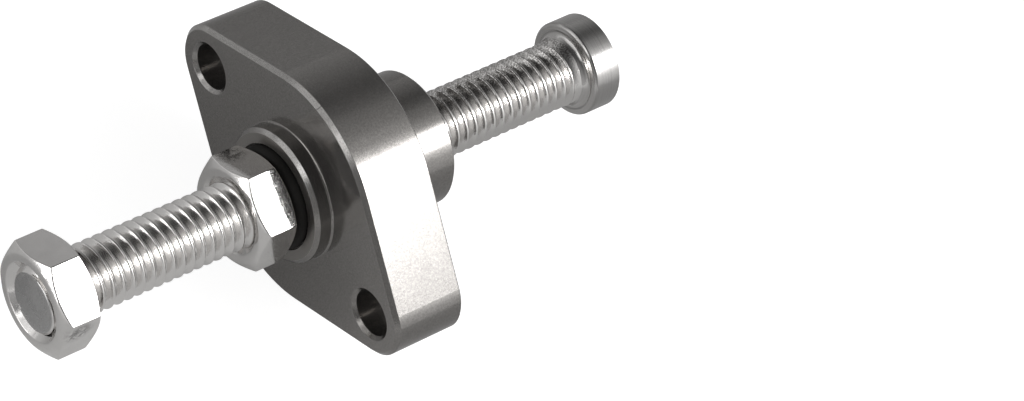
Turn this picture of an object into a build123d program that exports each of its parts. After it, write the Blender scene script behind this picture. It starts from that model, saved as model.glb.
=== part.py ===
"""Cam chain tensioner: a billet flange housing with a hand-set threaded pusher bolt.

Millimetres. The bolt axis is X, and +X points into the engine. The origin is
where the bolt axis crosses the mounting face at the back of the flange. The two
mounting holes lie along Y, and +Z is up.
"""

import math
import os

from build123d import *

# The bolt, which sets the bores of everything that it passes through.
bolt_diameter = 9.525
bolt_length = 89.55
thread_clearance = 0.05
point_chamfer = 0.4
point_crown = 0.25

# The head is turned round, and its face pushes on the chain guide.
head_overhang = 2.1
head_height = 4.4
head_front_chamfer = 0.15
head_back_chamfer = 0.35
head_root_chamfer = 0.7
bolt_reach = 37.45

# Both nuts are the same hexagon nut, chamfered on both faces.
nut_thickness = 6.0
nut_flats_ratio = 1.5
nut_face_ratio = 0.94
nut_chamfer_angle = 30
nut_mouth_chamfer = 0.85
end_nut_overhang = 0.15
end_nut_turn = 26.8
lock_nut_turn = 23.7

# The flange is one plate with a wide middle and a lobe round each mounting hole.
flange_thickness = 11.05
flange_width = 35.5
flange_front_chamfer = 0.6
flange_back_chamfer = 0.3
hole_spacing = 40.6
hole_diameter = 6.6
hole_chamfer = 0.5
lobe_wall = 2.75

# The round boss in front of the flange holds the sealing ring in a recess.
boss_height = 2.55
boss_chamfer = 0.57
boss_fillet = 0.3
recess_wall = 2.0
recess_depth = 1.35
recess_clearance = 0.2
ring_section = 2.62
ring_section_sides = 20
ring_seat_gap = 0.05

# The spigot locates the housing in the engine's bore.
spigot_length = 10.0
spigot_wall = 4.85
spigot_chamfer = 0.4
bore_mouth_chamfer = 0.6

# Sizes that follow from the ones above.
bolt_radius = bolt_diameter / 2
bore_radius = bolt_radius + thread_clearance
head_radius = bolt_radius + head_overhang
ring_middle_radius = bore_radius + ring_section / 2
recess_radius = bore_radius + ring_section + recess_clearance
boss_radius = recess_radius + recess_wall
spigot_radius = bore_radius + spigot_wall
hole_radius = hole_diameter / 2
lobe_radius = hole_radius + lobe_wall
nut_flats = nut_flats_ratio * bolt_diameter

# Places along the bolt axis.
flange_front = -flange_thickness
boss_front = flange_front - boss_height
recess_floor = boss_front + recess_depth
ring_middle = recess_floor - ring_seat_gap - ring_section / 2
lock_nut_back = ring_middle - ring_section / 2 - ring_seat_gap
bolt_end = bolt_reach - bolt_length
end_nut_back = bolt_end - end_nut_overhang + nut_thickness


def circles_of(part, radius, x):
    """The round edges of this radius that lie in the plane at x."""
    rims = part.edges().filter_by(GeomType.CIRCLE).filter_by_position(Axis.X, x - 0.01, x + 0.01)
    return rims.filter_by(lambda rim: abs(rim.radius - radius) < 0.01)


def make_housing():
    """The one-piece body: flange, boss, spigot and the bore through all three."""
    with BuildPart() as body:
        with BuildSketch(Plane.YZ.offset(flange_front)):
            Circle(flange_width / 2)
            with Locations((hole_spacing / 2, 0), (-hole_spacing / 2, 0)):
                Circle(lobe_radius)
            make_hull()
        extrude(amount=flange_thickness)
        chamfer(body.faces().sort_by(Axis.X)[0].edges(), flange_front_chamfer)
        chamfer(body.faces().sort_by(Axis.X)[-1].edges(), flange_back_chamfer)

        with BuildSketch(Plane.YZ.offset(boss_front)):
            Circle(boss_radius)
        extrude(amount=boss_height)
        fillet(circles_of(body, boss_radius, flange_front), boss_fillet)
        chamfer(circles_of(body, boss_radius, boss_front), boss_chamfer)

        with BuildSketch(Plane.YZ):
            Circle(spigot_radius)
        extrude(amount=spigot_length)
        chamfer(circles_of(body, spigot_radius, spigot_length), spigot_chamfer)

        with BuildSketch(Plane.YZ.offset(boss_front)):
            Circle(bore_radius)
        extrude(amount=boss_height + flange_thickness + spigot_length, mode=Mode.SUBTRACT)
        chamfer(circles_of(body, bore_radius, spigot_length), bore_mouth_chamfer)
        with BuildSketch(Plane.YZ.offset(boss_front)):
            Circle(recess_radius)
        extrude(amount=recess_depth, mode=Mode.SUBTRACT)

        with BuildSketch(Plane.YZ.offset(flange_front)):
            with Locations((hole_spacing / 2, 0), (-hole_spacing / 2, 0)):
                Circle(hole_radius)
        extrude(amount=flange_thickness, mode=Mode.SUBTRACT)
        chamfer(circles_of(body, hole_radius, flange_front), hole_chamfer)
        chamfer(circles_of(body, hole_radius, 0), hole_chamfer)
    return body.part


def make_bolt():
    """The pusher bolt as one turned piece, from its crowned point to its flat head."""
    head_face = bolt_reach + head_height
    with BuildPart() as body:
        with BuildSketch(Plane.XY):
            with BuildLine():
                point_middle = (bolt_end - point_crown, 0)
                point_edge = (bolt_end, bolt_radius - point_chamfer)
                Polyline(
                    point_middle,
                    (head_face, 0),
                    (head_face, head_radius - head_front_chamfer),
                    (head_face - head_front_chamfer, head_radius),
                    (bolt_reach + head_back_chamfer, head_radius),
                    (bolt_reach, head_radius - head_back_chamfer),
                    (bolt_reach, bolt_radius),
                    (bolt_end + point_chamfer, bolt_radius),
                    point_edge,
                )
                TangentArc(point_middle, point_edge, tangent=(0, 1))
            make_face()
        revolve(axis=Axis.X)
        chamfer(circles_of(body, bolt_radius, bolt_reach), head_root_chamfer)
    return body.part


def make_nut(back, turn):
    """A hexagon nut whose engine-side face is at back, turned about the bolt axis."""
    front = back - nut_thickness
    corner_radius = nut_flats / 2 / math.cos(math.radians(30))
    face_radius = nut_face_ratio * nut_flats / 2
    chamfer_depth = (corner_radius - face_radius) * math.tan(math.radians(nut_chamfer_angle))
    with BuildPart() as body:
        with BuildSketch(Plane.YZ.offset(front)):
            RegularPolygon(nut_flats / 2, 6, major_radius=False, rotation=turn)
            Circle(bore_radius, mode=Mode.SUBTRACT)
        extrude(amount=nut_thickness)
        with BuildSketch(Plane.XY):
            with BuildLine():
                Polyline(
                    (front, 0),
                    (back, 0),
                    (back, face_radius),
                    (back - chamfer_depth, corner_radius),
                    (front + chamfer_depth, corner_radius),
                    (front, face_radius),
                    close=True,
                )
            make_face()
        revolve(axis=Axis.X, mode=Mode.INTERSECT)
        chamfer(circles_of(body, bore_radius, front), nut_mouth_chamfer)
        chamfer(circles_of(body, bore_radius, back), nut_mouth_chamfer)
    return body.part


def make_ring():
    """The round-section sealing ring, drawn with sides so narrow that they pass for round."""
    with BuildPart() as body:
        with BuildSketch(Plane.XY):
            with Locations((ring_middle, ring_middle_radius)):
                RegularPolygon(ring_section / 2, ring_section_sides)
        revolve(axis=Axis.X)
    return body.part


pieces = {
    "housing": make_housing(),
    "tensioner_bolt": make_bolt(),
    "lock_nut": make_nut(lock_nut_back, lock_nut_turn),
    "end_nut": make_nut(end_nut_back, end_nut_turn),
    "o_ring": make_ring(),
}

os.makedirs("parts", exist_ok=True)
for label, piece in pieces.items():
    piece.label = label
    export_step(piece, f"parts/{label}.step")
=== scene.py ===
"""Cam chain tensioner: looks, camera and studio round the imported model.

The object's sizes are written in millimetres and come out in metres. X is the bolt
axis, with the engine at +X, the two mounting holes lie along Y, and +Z is up.
"""

import math

import bpy
from mathutils import Matrix, Vector


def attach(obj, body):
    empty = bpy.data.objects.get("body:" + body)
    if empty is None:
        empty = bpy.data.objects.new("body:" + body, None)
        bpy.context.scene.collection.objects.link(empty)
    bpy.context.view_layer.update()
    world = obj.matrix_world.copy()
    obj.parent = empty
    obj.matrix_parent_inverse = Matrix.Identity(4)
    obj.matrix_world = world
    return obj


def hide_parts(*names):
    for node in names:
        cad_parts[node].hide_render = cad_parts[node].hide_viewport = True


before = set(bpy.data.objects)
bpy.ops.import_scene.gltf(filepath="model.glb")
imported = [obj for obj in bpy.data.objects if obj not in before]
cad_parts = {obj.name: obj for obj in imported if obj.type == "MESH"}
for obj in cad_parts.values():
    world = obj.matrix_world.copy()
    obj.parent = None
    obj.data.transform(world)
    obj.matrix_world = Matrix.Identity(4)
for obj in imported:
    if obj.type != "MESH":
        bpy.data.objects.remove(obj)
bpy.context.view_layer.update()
scene = bpy.context.scene

MM = 0.001
WHOLE_TURN = 2 * math.pi
LATHE_STEPS = 96

# The housing, whose mounting face is at 0.
BACK_CHAMFER = 0.3
FLANGE_FRONT = -11.05
FLANGE_CHAMFER = 0.6
BOSS_FRONT = -13.6
BOSS_CHAMFER = 0.57

# The bolt, from the face of its head to its crowned point.
HEAD_FRONT = 41.85
HEAD_BACK = 37.45
HEAD_RADIUS = 6.8625
BOLT_RADIUS = 4.7625
BOLT_POINT = -52.35

# Its thread, which is rolled too long and then cut down to a turned blank.
PITCH = 1.5875
CREST_START = -55.5095
THREAD_TURNS = 59
THREAD_STEPS = 64
THREAD_START = -53.2
THREAD_END = 36.2
BLANK_END = 36.3
BLANK_RADIUS = 4.80

# The nuts. One flat of each faces this many degrees away from +Y.
NUT_FLATS = 14.2875
NUT_THICKNESS = 6.0
NUT_FACE_RADIUS = 6.715
NUT_CHAMFER_ANGLE = 30
NUT_LATHE_STEPS = 120
NUT_EASE = 0.13
BAR_RADIUS = 8.3
TAPPED_RADIUS = 4.0
COUNTERSINK_RADIUS = 5.66
LOCK_NUT_FRONT = -20.97
LOCK_NUT_TURN = -6.3
LOCK_NUT_SMUDGE = (-18.0, 6.2, 4.3)
END_NUT_FRONT = -52.25
END_NUT_TURN = -3.2
END_NUT_SMUDGE = (-49.9, -7.0, 2.4)

# The sealing ring.
RING_MIDDLE = -13.61
RING_MIDDLE_RADIUS = 6.1225
RING_SECTION_RADIUS = 1.28
RING_SECTION_SIDES = 40
RING_FLASH = 0.05

# How soft the edge is where one finish meets the next.
EDGE = 0.02

# The camera: its place in metres, and which way its back and its right side face.
CAMERA_PLACE = (-0.265505, -0.139203, 0.422055)
CAMERA_BACK = Vector((-0.54136, -0.23871, 0.80619))
CAMERA_RIGHT = Vector((0.76464, -0.53851, 0.35402))
CAMERA_LENS = 134.976
CAMERA_SENSOR = 36

# The studio. Only the floor's height is in millimetres: lamps are in metres and watts.
FLOOR_HEIGHT = -17.76
FLOOR_SIZE = 4
KEY_PLACE = Vector((0.3644, -0.3644, 0.4737))
KEY_SIZE = (0.3, 0.26)
KEY_WATTS = 2.2
FILL_PLACE = Vector((-0.25, 0.048, 0.01))
FILL_SIZE = (0.175, 0.056)
FILL_WATTS = 0.077

# The window and the back light are soft round patches of the room. Each has the cosine of
# the angle from its middle to its outer edge and to its full brightness.
WINDOW_DIRECTION = Vector((-0.80, 0.52, 0.31)).normalized()
WINDOW_COSINES = (0.883, 0.970)
WINDOW_STRENGTH = 0.6
BACK_LIGHT_DIRECTION = Vector((-0.855, 0.06, 0.515)).normalized()
BACK_LIGHT_COSINES = (0.976, 0.995)
BACK_LIGHT_STRENGTH = 1.9

# How much the wall glows at each height, and the room round the key softbox at each
# cosine of the angle from its middle.
KEY_DIRECTION = Vector((0.541, -0.541, 0.644)).normalized()
KEY_GLOW_STRENGTH = 2.65
WALL_GLOW = [
    (0.03, 0.42),
    (0.073, 0.40),
    (0.246, 0.33),
    (0.408, 0.235),
    (0.552, 0.147),
    (0.65, 0.09),
    (0.8, 0.07),
]
KEY_GLOW = [
    (0.39, 0.0),
    (0.524, 0.03),
    (0.595, 0.05),
    (0.657, 0.097),
    (0.719, 0.115),
    (0.829, 0.175),
    (0.872, 0.267),
    (0.911, 0.29),
    (0.944, 0.55),
    (0.969, 0.75),
]


# Modelling.


def deselect_all():
    """Leave edit mode and select nothing."""
    if bpy.context.object and bpy.context.object.mode == "EDIT":
        bpy.ops.object.mode_set(mode="OBJECT")
    bpy.ops.object.select_all(action="DESELECT")


def pick(piece):
    """Make this piece the only selected one."""
    deselect_all()
    piece.select_set(True)
    bpy.context.view_layer.objects.active = piece


def start_line(name, point):
    """A new piece in edit mode that is one vertex at this place and radius."""
    deselect_all()
    bpy.ops.mesh.primitive_plane_add(size=MM, location=(point[0] * MM, 0, point[1] * MM))
    piece = bpy.context.object
    piece.name = name
    bpy.ops.object.transform_apply(location=True, rotation=True, scale=True)
    bpy.ops.object.mode_set(mode="EDIT")
    bpy.ops.mesh.select_all(action="SELECT")
    bpy.ops.mesh.merge(type="CENTER")
    return piece


def draw_line(points):
    """Extrude the picked vertex from point to point."""
    for here, there in zip(points, points[1:]):
        step = Vector((there[0] - here[0], 0, there[1] - here[1])) * MM
        bpy.ops.mesh.extrude_region_move(TRANSFORM_OT_translate={"value": step})


def close_up(gap):
    """Merge what meets and turn the faces outwards."""
    bpy.ops.mesh.select_all(action="SELECT")
    bpy.ops.mesh.remove_doubles(threshold=gap * MM)
    bpy.ops.mesh.normals_make_consistent(inside=False)


def moved_along(start, points):
    """These places and radii, with their places counted from start."""
    return [(start + along, out) for along, out in points]


def turn_on_lathe(name, points, steps=LATHE_STEPS):
    """A closed piece spun about the bolt axis from a line of places and radii."""
    piece = start_line(name, points[0])
    draw_line(points)
    bpy.ops.mesh.select_all(action="SELECT")
    bpy.ops.mesh.spin(steps=steps, angle=WHOLE_TURN, center=(0, 0, 0), axis=(1, 0, 0))
    close_up(0.001)
    bpy.ops.object.mode_set(mode="OBJECT")
    return piece


def combine(piece, tool, operation):
    """Intersect the piece with the tool, or join them, and take the tool away."""
    change = piece.modifiers.new("combine", "BOOLEAN")
    change.operation = operation
    change.object = tool
    change.solver = "MANIFOLD"
    pick(piece)
    bpy.ops.object.modifier_apply(modifier=change.name)
    bpy.data.objects.remove(tool)


def cut_off(place, normal):
    """Cut the piece in edit mode at a plane and cap it, taking away what lies beyond."""
    bpy.ops.mesh.select_all(action="SELECT")
    bpy.ops.mesh.bisect(
        plane_co=place, plane_no=normal, use_fill=True, clear_outer=True, threshold=1e-7
    )


def finish_piece(piece, angle, node, body, finish):
    """Shade the piece smooth below this angle, give it its finish and let it stand for its node."""
    pick(piece)
    bpy.ops.object.shade_smooth_by_angle(angle=math.radians(angle))
    weights = piece.modifiers.new("weights", "WEIGHTED_NORMAL")
    weights.keep_sharp = True
    bpy.ops.object.modifier_apply(modifier=weights.name)
    piece.data.materials.clear()
    piece.data.materials.append(finish)
    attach(piece, body)
    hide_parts(node)


def roll_thread(name):
    """The bolt's right-hand thread: one tooth drawn on its flank and screwed along the axis."""
    tooth = [
        (-PITCH / 2, -0.974),
        (-0.700, -0.955),
        (-0.655, -0.905),
        (-0.205, -0.125),
        (-0.15, -0.045),
        (-0.07, 0),
        (0.07, 0),
        (0.15, -0.045),
        (0.205, -0.125),
        (0.655, -0.905),
        (0.700, -0.955),
        (PITCH / 2, -0.974),
    ]
    points = [(CREST_START + along, BOLT_RADIUS + out) for along, out in tooth]
    thread = start_line(name, points[0])
    draw_line(points)
    bpy.ops.object.mode_set(mode="OBJECT")
    screw = thread.modifiers.new("screw", "SCREW")
    screw.axis = "X"
    screw.angle = WHOLE_TURN
    screw.screw_offset = PITCH * MM
    screw.iterations = THREAD_TURNS
    screw.steps = screw.render_steps = THREAD_STEPS
    screw.use_merge_vertices = True
    screw.merge_threshold = 1e-6
    screw.use_normal_calculate = True
    bpy.ops.object.modifier_apply(modifier=screw.name)
    bpy.ops.object.mode_set(mode="EDIT")
    close_up(0.002)
    cut_off((THREAD_START * MM, 0, 0), (-1, 0, 0))
    cut_off((THREAD_END * MM, 0, 0), (1, 0, 0))
    close_up(0.0005)
    bpy.ops.object.mode_set(mode="OBJECT")
    return thread


def make_bolt():
    """The threaded pusher bolt with its crowned point and its turned head."""
    bolt = roll_thread("pusher_bolt")
    crown = [(0, 0), (0.02, 1.2), (0.08, 2.4), (0.16, 3.3), (0.22, 3.85)]
    taper = [(0.27, 4.15), (0.35, 4.33), (0.55, 4.5), (0.85, BLANK_RADIUS)]
    blank = moved_along(BOLT_POINT, crown + taper) + [(BLANK_END, BLANK_RADIUS), (BLANK_END, 0)]
    combine(bolt, turn_on_lathe("bolt_blank", blank), "INTERSECT")
    shank = [(-2.65, 0), (-2.65, 3.72), (-1.25, 4.68), (-0.95, 4.72), (-0.83, 4.78)]
    fillet = [(-0.73, 4.85), (-0.5, 4.95), (-0.25, 5.14), (-0.08, 5.37), (0, 5.6)]
    groove = [(0, 5.82), (-0.06, 5.9), (-0.06, 6.0), (0, 6.08)]
    back_rim = [(0, 6.42), (0.03, 6.5), (0.27, 6.78), (0.37, 6.84), (0.5, HEAD_RADIUS)]
    front_rim = [(-0.15, HEAD_RADIUS), (-0.05, 6.82), (0, 6.72), (0, 0)]
    head = moved_along(HEAD_BACK, shank + fillet + groove + back_rim)
    head += moved_along(HEAD_FRONT, front_rim)
    combine(bolt, turn_on_lathe("head_blank", head), "UNION")
    return bolt


def make_nut(name, front, turn):
    """A hexagon nut turned from bar, its flats milled, its hole countersunk and its edges eased."""
    back = front + NUT_THICKNESS
    rise = (BAR_RADIUS - NUT_FACE_RADIUS) * math.tan(math.radians(NUT_CHAMFER_ANGLE))
    sink = COUNTERSINK_RADIUS - TAPPED_RADIUS
    nut = turn_on_lathe(
        name,
        [
            (front + sink, TAPPED_RADIUS),
            (front, COUNTERSINK_RADIUS),
            (front, NUT_FACE_RADIUS),
            (front + rise, BAR_RADIUS),
            (back - rise, BAR_RADIUS),
            (back, NUT_FACE_RADIUS),
            (back, COUNTERSINK_RADIUS),
            (back - sink, TAPPED_RADIUS),
            (front + sink, TAPPED_RADIUS),
        ],
        NUT_LATHE_STEPS,
    )
    pick(nut)
    bpy.ops.object.mode_set(mode="EDIT")
    for flat in range(6):
        out = math.radians(60 * flat)
        normal = Vector((0, math.cos(out), math.sin(out)))
        cut_off(normal * NUT_FLATS / 2 * MM, normal)
    close_up(0.0005)
    bpy.ops.object.mode_set(mode="OBJECT")
    ease = nut.modifiers.new("ease", "BEVEL")
    ease.limit_method = "ANGLE"
    ease.angle_limit = math.radians(20)
    ease.width = NUT_EASE * MM
    ease.segments = 3
    bpy.ops.object.modifier_apply(modifier=ease.name)
    nut.rotation_euler = (math.radians(turn), 0, 0)
    bpy.ops.object.transform_apply(location=True, rotation=True, scale=True)
    return nut


def make_ring():
    """The sealing ring, with the thin flash of its mould round the front and the back."""
    section = []
    for side in range(RING_SECTION_SIDES + 1):
        angle = WHOLE_TURN * side / RING_SECTION_SIDES
        flash = RING_FLASH if side % (RING_SECTION_SIDES // 2) == RING_SECTION_SIDES // 4 else 0
        out = RING_SECTION_RADIUS + flash
        along = RING_MIDDLE + out * math.sin(angle)
        section.append((along, RING_MIDDLE_RADIUS + out * math.cos(angle)))
    return turn_on_lathe("sealing_ring", section)


# Finishes.


class Socket:
    """A node socket whose arithmetic adds Math nodes."""

    def __init__(self, tree, socket):
        self.tree = tree
        self.socket = socket

    def _math(self, operation, first, second):
        return self.tree.node("ShaderNodeMath", {"operation": operation}, {0: first, 1: second})

    def __add__(self, other):
        return self._math("ADD", self, other)

    def __radd__(self, other):
        return self._math("ADD", other, self)

    def __sub__(self, other):
        return self._math("SUBTRACT", self, other)

    def __rsub__(self, other):
        return self._math("SUBTRACT", other, self)

    def __mul__(self, other):
        return self._math("MULTIPLY", self, other)

    def __rmul__(self, other):
        return self._math("MULTIPLY", other, self)


class Tree:
    """The node tree of one finish, floor or world."""

    def __init__(self, owner):
        owner.use_nodes = True
        self.nodes = owner.node_tree.nodes
        self.links = owner.node_tree.links
        self.nodes.clear()

    def node(self, kind, settings=None, inputs=None, output=0):
        """Add a node with its settings, then its inputs, and return one output."""
        made = self.nodes.new(kind)
        for key, value in (settings or {}).items():
            if key == "stops":
                ramp = made.color_ramp
                ramp.interpolation = "CARDINAL"
                while len(ramp.elements) < len(value):
                    ramp.elements.new(0.5)
                for element, (place, shade) in zip(ramp.elements, value):
                    element.position = place
                    element.color = (shade, shade, shade, 1)
            else:
                setattr(made, key, value)
        for key, value in (inputs or {}).items():
            if isinstance(value, Socket):
                self.links.new(value.socket, made.inputs[key])
            else:
                made.inputs[key].default_value = value
        return Socket(self, made.outputs[output]) if made.outputs else made

    def place(self):
        """Object coordinates in millimetres."""
        metres = self.node("ShaderNodeTexCoord", output="Object")
        return self.node("ShaderNodeVectorMath", {"operation": "SCALE"}, {0: metres, "Scale": 1 / MM})

    def parts(self, vector):
        """The X, Y and Z of a vector."""
        return [self.node("ShaderNodeSeparateXYZ", {}, {0: vector}, axis) for axis in range(3)]

    def distance(self, across, up):
        """How far a point this far across and up is from the middle."""
        return self.node("ShaderNodeMath", {"operation": "SQRT"}, {0: across * across + up * up})

    def noise(self, vector, scale, detail=2.0, roughness=0.5):
        """Smooth noise of about 0 to 1, with this many lumps in a millimetre."""
        inputs = {"Vector": vector, "Scale": scale, "Detail": detail, "Roughness": roughness}
        return self.node("ShaderNodeTexNoise", {}, inputs)

    def between(self, value, low, high):
        """A mask that goes smoothly from 0 at low to 1 at high."""
        inputs = {"Value": value, "From Min": low, "From Max": high}
        return self.node("ShaderNodeMapRange", {"interpolation_type": "SMOOTHSTEP"}, inputs)

    def band(self, value, low, high, soft):
        """A mask that is 1 between low and high, with edges this soft."""
        above = self.between(value, low - soft, low + soft)
        return above * (1 - self.between(value, high - soft, high + soft))

    def vector(self, x, y, z):
        """The vector with these three parts."""
        return self.node("ShaderNodeCombineXYZ", {}, {0: x, 1: y, 2: z})

    def blend(self, mask, under, over):
        """A colour that goes from under to over as the mask goes from 0 to 1."""
        return self.node("ShaderNodeMix", {"data_type": "RGBA"}, {0: mask, 6: under, 7: over}, 2)

    def bump(self, height, strength, distance):
        """A normal that follows a height, which counts in steps of this many millimetres."""
        inputs = {"Height": height, "Strength": strength, "Distance": distance * MM}
        return self.node("ShaderNodeBump", {}, inputs)

    def straight_ray(self):
        """1 where the camera looks straight or through something clear, otherwise 0."""
        seen = self.node("ShaderNodeLightPath", output="Is Camera Ray")
        return seen + self.node("ShaderNodeLightPath", output="Is Transmission Ray")

    def surface(self, shader):
        """Make this shader the one that is seen."""
        self.node("ShaderNodeOutputMaterial", {}, {"Surface": shader})


def grey(shade, warmth=0.0):
    """A near-grey colour, with red up and blue down by the warmth."""
    return (shade * (1 + warmth), shade, shade * (1 - warmth), 1)


def new_finish(name):
    """A new material and its empty node tree."""
    finish = bpy.data.materials.new(name)
    return finish, Tree(finish)


def anodised_grey():
    """Satin grey anodising: grainy, rubbed lighter along the chamfers with a painted highlight on
    their upper side, and nicked once.
    """
    finish, tree = new_finish("anodised_grey")
    place = tree.place()
    x, y, z = tree.parts(place)
    radius = tree.distance(y, z)
    speckle = tree.noise(place, 9.0, 3.0, 0.6)
    grain = tree.noise(place, 4.0, 2.0, 0.6)
    cloud = tree.noise(place, 0.35, 2.0)

    # Where each kind of surface is.
    boss_chamfer = tree.band(x, BOSS_FRONT + EDGE, BOSS_FRONT + BOSS_CHAMFER - EDGE, EDGE)
    front_chamfer = tree.band(x, FLANGE_FRONT + EDGE, FLANGE_FRONT + FLANGE_CHAMFER - EDGE, EDGE)
    back_chamfer = tree.band(x, EDGE / 2 - BACK_CHAMFER, 0.2, EDGE)
    chamfers = front_chamfer + boss_chamfer + back_chamfer
    boss_face = tree.band(x, BOSS_FRONT - 0.1, BOSS_FRONT + 0.05, EDGE / 2)
    lathe_work = tree.between(radius, 10.2, 9.8)

    # Wear, a painted highlight on the upper side of the chamfers, and the lathe's fine rings.
    worn_and_lit_chamfers = front_chamfer * 0.6 + boss_chamfer * tree.between(z, 4.5, 7.5)
    rubbed_and_highlit = worn_and_lit_chamfers * tree.between(y + z * 0.6, -3.0, 4.0) * tree.between(speckle, 0.30, 0.60)
    nick = front_chamfer * tree.band(y, 2.85, 2.97, 0.04) * tree.between(z, 15.0, 16.0)
    rings = tree.noise(tree.vector(radius * 6.0, x * 6.0, 0.0), 1.0, 2.0)

    colour = tree.blend(cloud * 0.1 + grain * 0.9, grey(0.14, 0.04), grey(0.36, 0.04))
    # The chamfers lighter on their upper side: rubbed wear and a painted highlight.
    colour = tree.blend(rubbed_and_highlit, colour, grey(0.50, 0.02))
    colour = tree.blend(nick * 0.8, colour, grey(0.08, 0.02))
    colour = tree.blend(boss_face, colour, grey(0.27, 0.05))
    shader = tree.node(
        "ShaderNodeBsdfPrincipled",
        {},
        {
            "Base Color": colour,
            "Metallic": 0.86,
            "Roughness": 0.15 + 0.03 * cloud + 0.12 * boss_face,
            "Normal": tree.bump(speckle * chamfers * 0.9 + rings * lathe_work * 0.06, 0.5, 0.03),
        },
    )
    tree.surface(shader)
    return finish


def zinc_nut(name, front, smudge_place):
    """Bright zinc plate on a nut: grainy and stained, with crowned flats and one dirty smudge."""
    finish, tree = new_finish(name)
    place = tree.place()
    from_middle = tree.parts(place)[0] - (front + NUT_THICKNESS / 2)
    crown = from_middle * from_middle
    lumps = tree.noise(place, 1.8, 3.0, 0.55)
    grains = tree.noise(place, 6.0, 2.0, 0.6)
    pits = tree.between(grains, 0.46, 0.62)
    stains = tree.noise(place, 0.45, 2.0)
    ends = {0: place, 1: smudge_place}
    away = tree.node("ShaderNodeVectorMath", {"operation": "DISTANCE"}, ends, "Value")
    smudge = tree.between(away, 2.6, 0.6) * tree.between(lumps, 0.38, 0.58)
    colour = tree.blend(stains, grey(0.66, 0.02), grey(0.76, 0.02))
    colour = tree.blend(smudge * 0.75, colour, grey(0.12, 0.05))
    shader = tree.node(
        "ShaderNodeBsdfPrincipled",
        {},
        {
            "Base Color": colour,
            "Metallic": 1.0,
            "Roughness": 0.05 + 0.2 * pits * pits + 0.1 * smudge,
            "Normal": tree.bump(lumps * 0.3 + grains * 0.3 - crown * 0.75, 0.25, 0.05),
        },
    )
    tree.surface(shader)
    return finish


def bolt_steel():
    """Mottled zinc on the thread, with painted shade in its roots and on its upper side behind the
    flange, and bare turned steel on head and point.
    """
    finish, tree = new_finish("bolt_steel_finish")
    place = tree.place()
    x, y, z = tree.parts(place)
    radius = tree.distance(y, z)
    lumps = tree.noise(place, 4.0, 3.0, 0.6)
    grains = tree.noise(place, 11.0, 2.0, 0.6)
    stains = tree.noise(place, 0.6, 2.0)
    rings = tree.noise(tree.vector(x * 12.0, radius * 12.0, stains * 2.0), 1.0, 3.0, 0.6)

    # Where each kind of surface is, and the upper side of the thread behind the flange, battered and
    # darkened with painted shade.
    head = tree.between(x, HEAD_BACK - 0.95, HEAD_BACK - 0.55)
    head_back = tree.band(x, HEAD_BACK - 0.75, HEAD_BACK + 0.15, 0.1)
    run_out = tree.between(x, HEAD_BACK - 4.65, HEAD_BACK - 3.05)
    point = tree.between(x, BOLT_POINT + 0.5, BOLT_POINT + 0.3)
    root_shade = tree.between(radius, 3.95, 3.8) * tree.between(stains, 0.35, 0.6)
    battered_and_shaded = tree.between(x, 4.0, 14.0) * tree.between(y, -1.5, 1.0) * tree.between(z, 0.0, 1.5)

    bright = tree.blend(grains, grey(0.68, 0.02), grey(0.86, 0.02))
    dull = tree.blend(grains, grey(0.72, 0.02), grey(0.88, 0.02))
    # Darker mottling on the upper side of the thread behind the flange: battering and painted shade.
    dull = tree.blend(battered_and_shaded * tree.between(lumps, 0.42, 0.58), dull, grey(0.36, 0.03))
    colour = tree.blend(tree.between(x, -12.0, 12.0), bright, dull)
    # Painted shade in the bottoms of the thread roots, in patches.
    colour = tree.blend(root_shade * 0.5, colour, grey(0.16, 0.05))
    colour = tree.blend(head, colour, tree.blend(rings, grey(0.34, 0.02), grey(0.56, 0.02)))
    colour = tree.blend(head_back, colour, tree.blend(rings, grey(0.46, 0.02), grey(0.78, 0.02)))
    colour = tree.blend(point, colour, tree.blend(lumps, grey(0.30, 0.01), grey(0.52, 0.01)))
    rolled = (lumps * 0.7 + grains * 0.3) * (1 + run_out) * (1 - head)
    shader = tree.node(
        "ShaderNodeBsdfPrincipled",
        {},
        {
            "Base Color": colour,
            "Metallic": 1.0,
            "Roughness": 0.06 + 0.07 * stains + 0.1 * head + 0.15 * point + 0.15 * root_shade,
            "Normal": tree.bump(rolled + rings * head * 0.65, 0.35, 0.06),
        },
    )
    tree.surface(shader)
    return finish


def black_rubber():
    """Moulded black rubber with a dull bloom."""
    finish, tree = new_finish("black_rubber")
    bloom = tree.noise(tree.place(), 1.2, 3.0, 0.6)
    colour = tree.blend(bloom, grey(0.012, 0.06), grey(0.026, 0.06))
    shader = tree.node(
        "ShaderNodeBsdfPrincipled",
        {},
        {
            "Base Color": colour,
            "Specular IOR Level": 0.15,
            "Roughness": 0.55 + 0.2 * bloom,
            "Normal": tree.bump(bloom, 0.1, 0.05),
        },
    )
    tree.surface(shader)
    return finish


# The pieces. The housing keeps its own mesh, and the others stand for their nodes.
bolt = make_bolt()
locking_nut = make_nut("locking_nut", LOCK_NUT_FRONT, LOCK_NUT_TURN)
turning_nut = make_nut("turning_nut", END_NUT_FRONT, END_NUT_TURN)
ring = make_ring()
lock_zinc = zinc_nut("zinc_lock_nut", LOCK_NUT_FRONT, LOCK_NUT_SMUDGE)
end_zinc = zinc_nut("zinc_end_nut", END_NUT_FRONT, END_NUT_SMUDGE)
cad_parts["housing"].material_slots[0].material = anodised_grey()
finish_piece(bolt, 40, "tensioner_bolt", "bolt", bolt_steel())
finish_piece(locking_nut, 25, "lock_nut", "locknut", lock_zinc)
finish_piece(turning_nut, 25, "end_nut", "bolt", end_zinc)
finish_piece(ring, 30, "o_ring", "ring", black_rubber())


# The studio.


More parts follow.
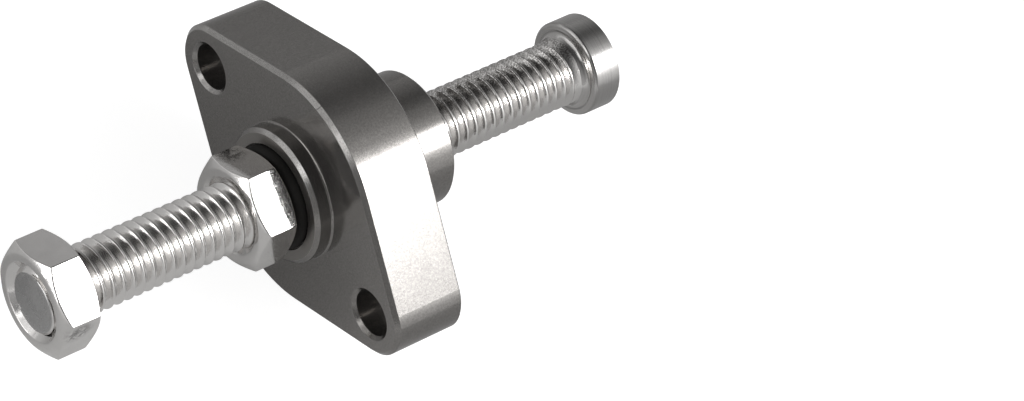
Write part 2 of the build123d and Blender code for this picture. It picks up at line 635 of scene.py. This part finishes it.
def lay_floor():
    """A pale matt floor that looks white and keeps the object's shadow."""
    deselect_all()
    bpy.ops.mesh.primitive_plane_add(size=FLOOR_SIZE, location=(0, 0, FLOOR_HEIGHT * MM))
    floor = bpy.context.object
    floor.name = "studio_floor"
    finish, tree = new_finish("pale_floor")
    x, y = tree.parts(tree.place())[:2]
    matt = tree.node("ShaderNodeBsdfDiffuse", {}, {"Color": grey(0.42)})
    glossy_ray = tree.node("ShaderNodeLightPath", output="Is Glossy Ray")

    # Metal sees the floor a little brighter on the outer side of the flange, more so far out.
    far = tree.between(tree.distance(x, y), 90.0, 260.0)
    near_side = tree.between(x, 15.0, -25.0)
    strength = tree.straight_ray() * 0.88 + glossy_ray * (0.03 + near_side * (0.14 + 0.3 * far))
    glow = tree.node("ShaderNodeEmission", {}, {"Color": (1, 1, 1, 1), "Strength": strength})
    tree.surface(tree.node("ShaderNodeAddShader", {}, {0: matt, 1: glow}))
    floor.data.materials.append(finish)


def light_room():
    """White to the camera; a pale wall, a glow round the softbox, a window and a back light."""
    room = bpy.data.worlds.new("studio_room")
    scene.world = room
    tree = Tree(room)
    direction = tree.node("ShaderNodeTexCoord", output="Generated")
    height = tree.node("ShaderNodeSeparateXYZ", {}, {0: direction}, 2)
    wall = tree.node("ShaderNodeValToRGB", {"stops": WALL_GLOW}, {0: height})

    def towards(place):
        """The cosine of the angle between where the ray goes and this direction."""
        inputs = {0: direction, 1: tuple(place)}
        return tree.node("ShaderNodeVectorMath", {"operation": "DOT_PRODUCT"}, inputs, "Value")

    window = tree.between(towards(WINDOW_DIRECTION), *WINDOW_COSINES) * WINDOW_STRENGTH
    back_light = tree.between(towards(BACK_LIGHT_DIRECTION), *BACK_LIGHT_COSINES) * BACK_LIGHT_STRENGTH
    key = tree.node("ShaderNodeValToRGB", {"stops": KEY_GLOW}, {0: towards(KEY_DIRECTION)})
    glow = wall + key * KEY_GLOW_STRENGTH + window + back_light
    straight_ray = tree.straight_ray()
    strength = straight_ray + (1 - straight_ray) * glow
    background = tree.node("ShaderNodeBackground", {}, {"Color": (1, 1, 1, 1), "Strength": strength})
    tree.node("ShaderNodeOutputWorld", {}, {"Surface": background})


def hang_softbox(name, place, size, watts):
    """A softbox at this place that faces the origin, its first size level along the wall."""
    light = bpy.data.lights.new(name, "AREA")
    light.shape = "RECTANGLE"
    light.size, light.size_y = size
    light.energy = watts
    lamp = bpy.data.objects.new(name, light)
    scene.collection.objects.link(lamp)
    lamp.location = place
    lamp.visible_camera = False
    lamp.rotation_euler = place.to_track_quat("Z", "Y").to_euler()


def set_camera():
    """Stand the camera where the photo was taken from."""
    lens = bpy.data.cameras.new("camera")
    lens.sensor_width = CAMERA_SENSOR
    lens.lens = CAMERA_LENS
    lens.clip_start = 0.01
    camera = bpy.data.objects.new("camera", lens)
    scene.collection.objects.link(camera)
    back = CAMERA_BACK.normalized()
    right = (CAMERA_RIGHT - back * CAMERA_RIGHT.dot(back)).normalized()
    up = back.cross(right)
    turn = Matrix((right, up, back)).transposed().to_4x4()
    camera.matrix_world = Matrix.Translation(CAMERA_PLACE) @ turn
    scene.camera = camera


lay_floor()
light_room()
hang_softbox("key_softbox", KEY_PLACE, KEY_SIZE, KEY_WATTS)
hang_softbox("fill_panel", FILL_PLACE, FILL_SIZE, FILL_WATTS)
set_camera()
scene.view_settings.view_transform = "Standard"
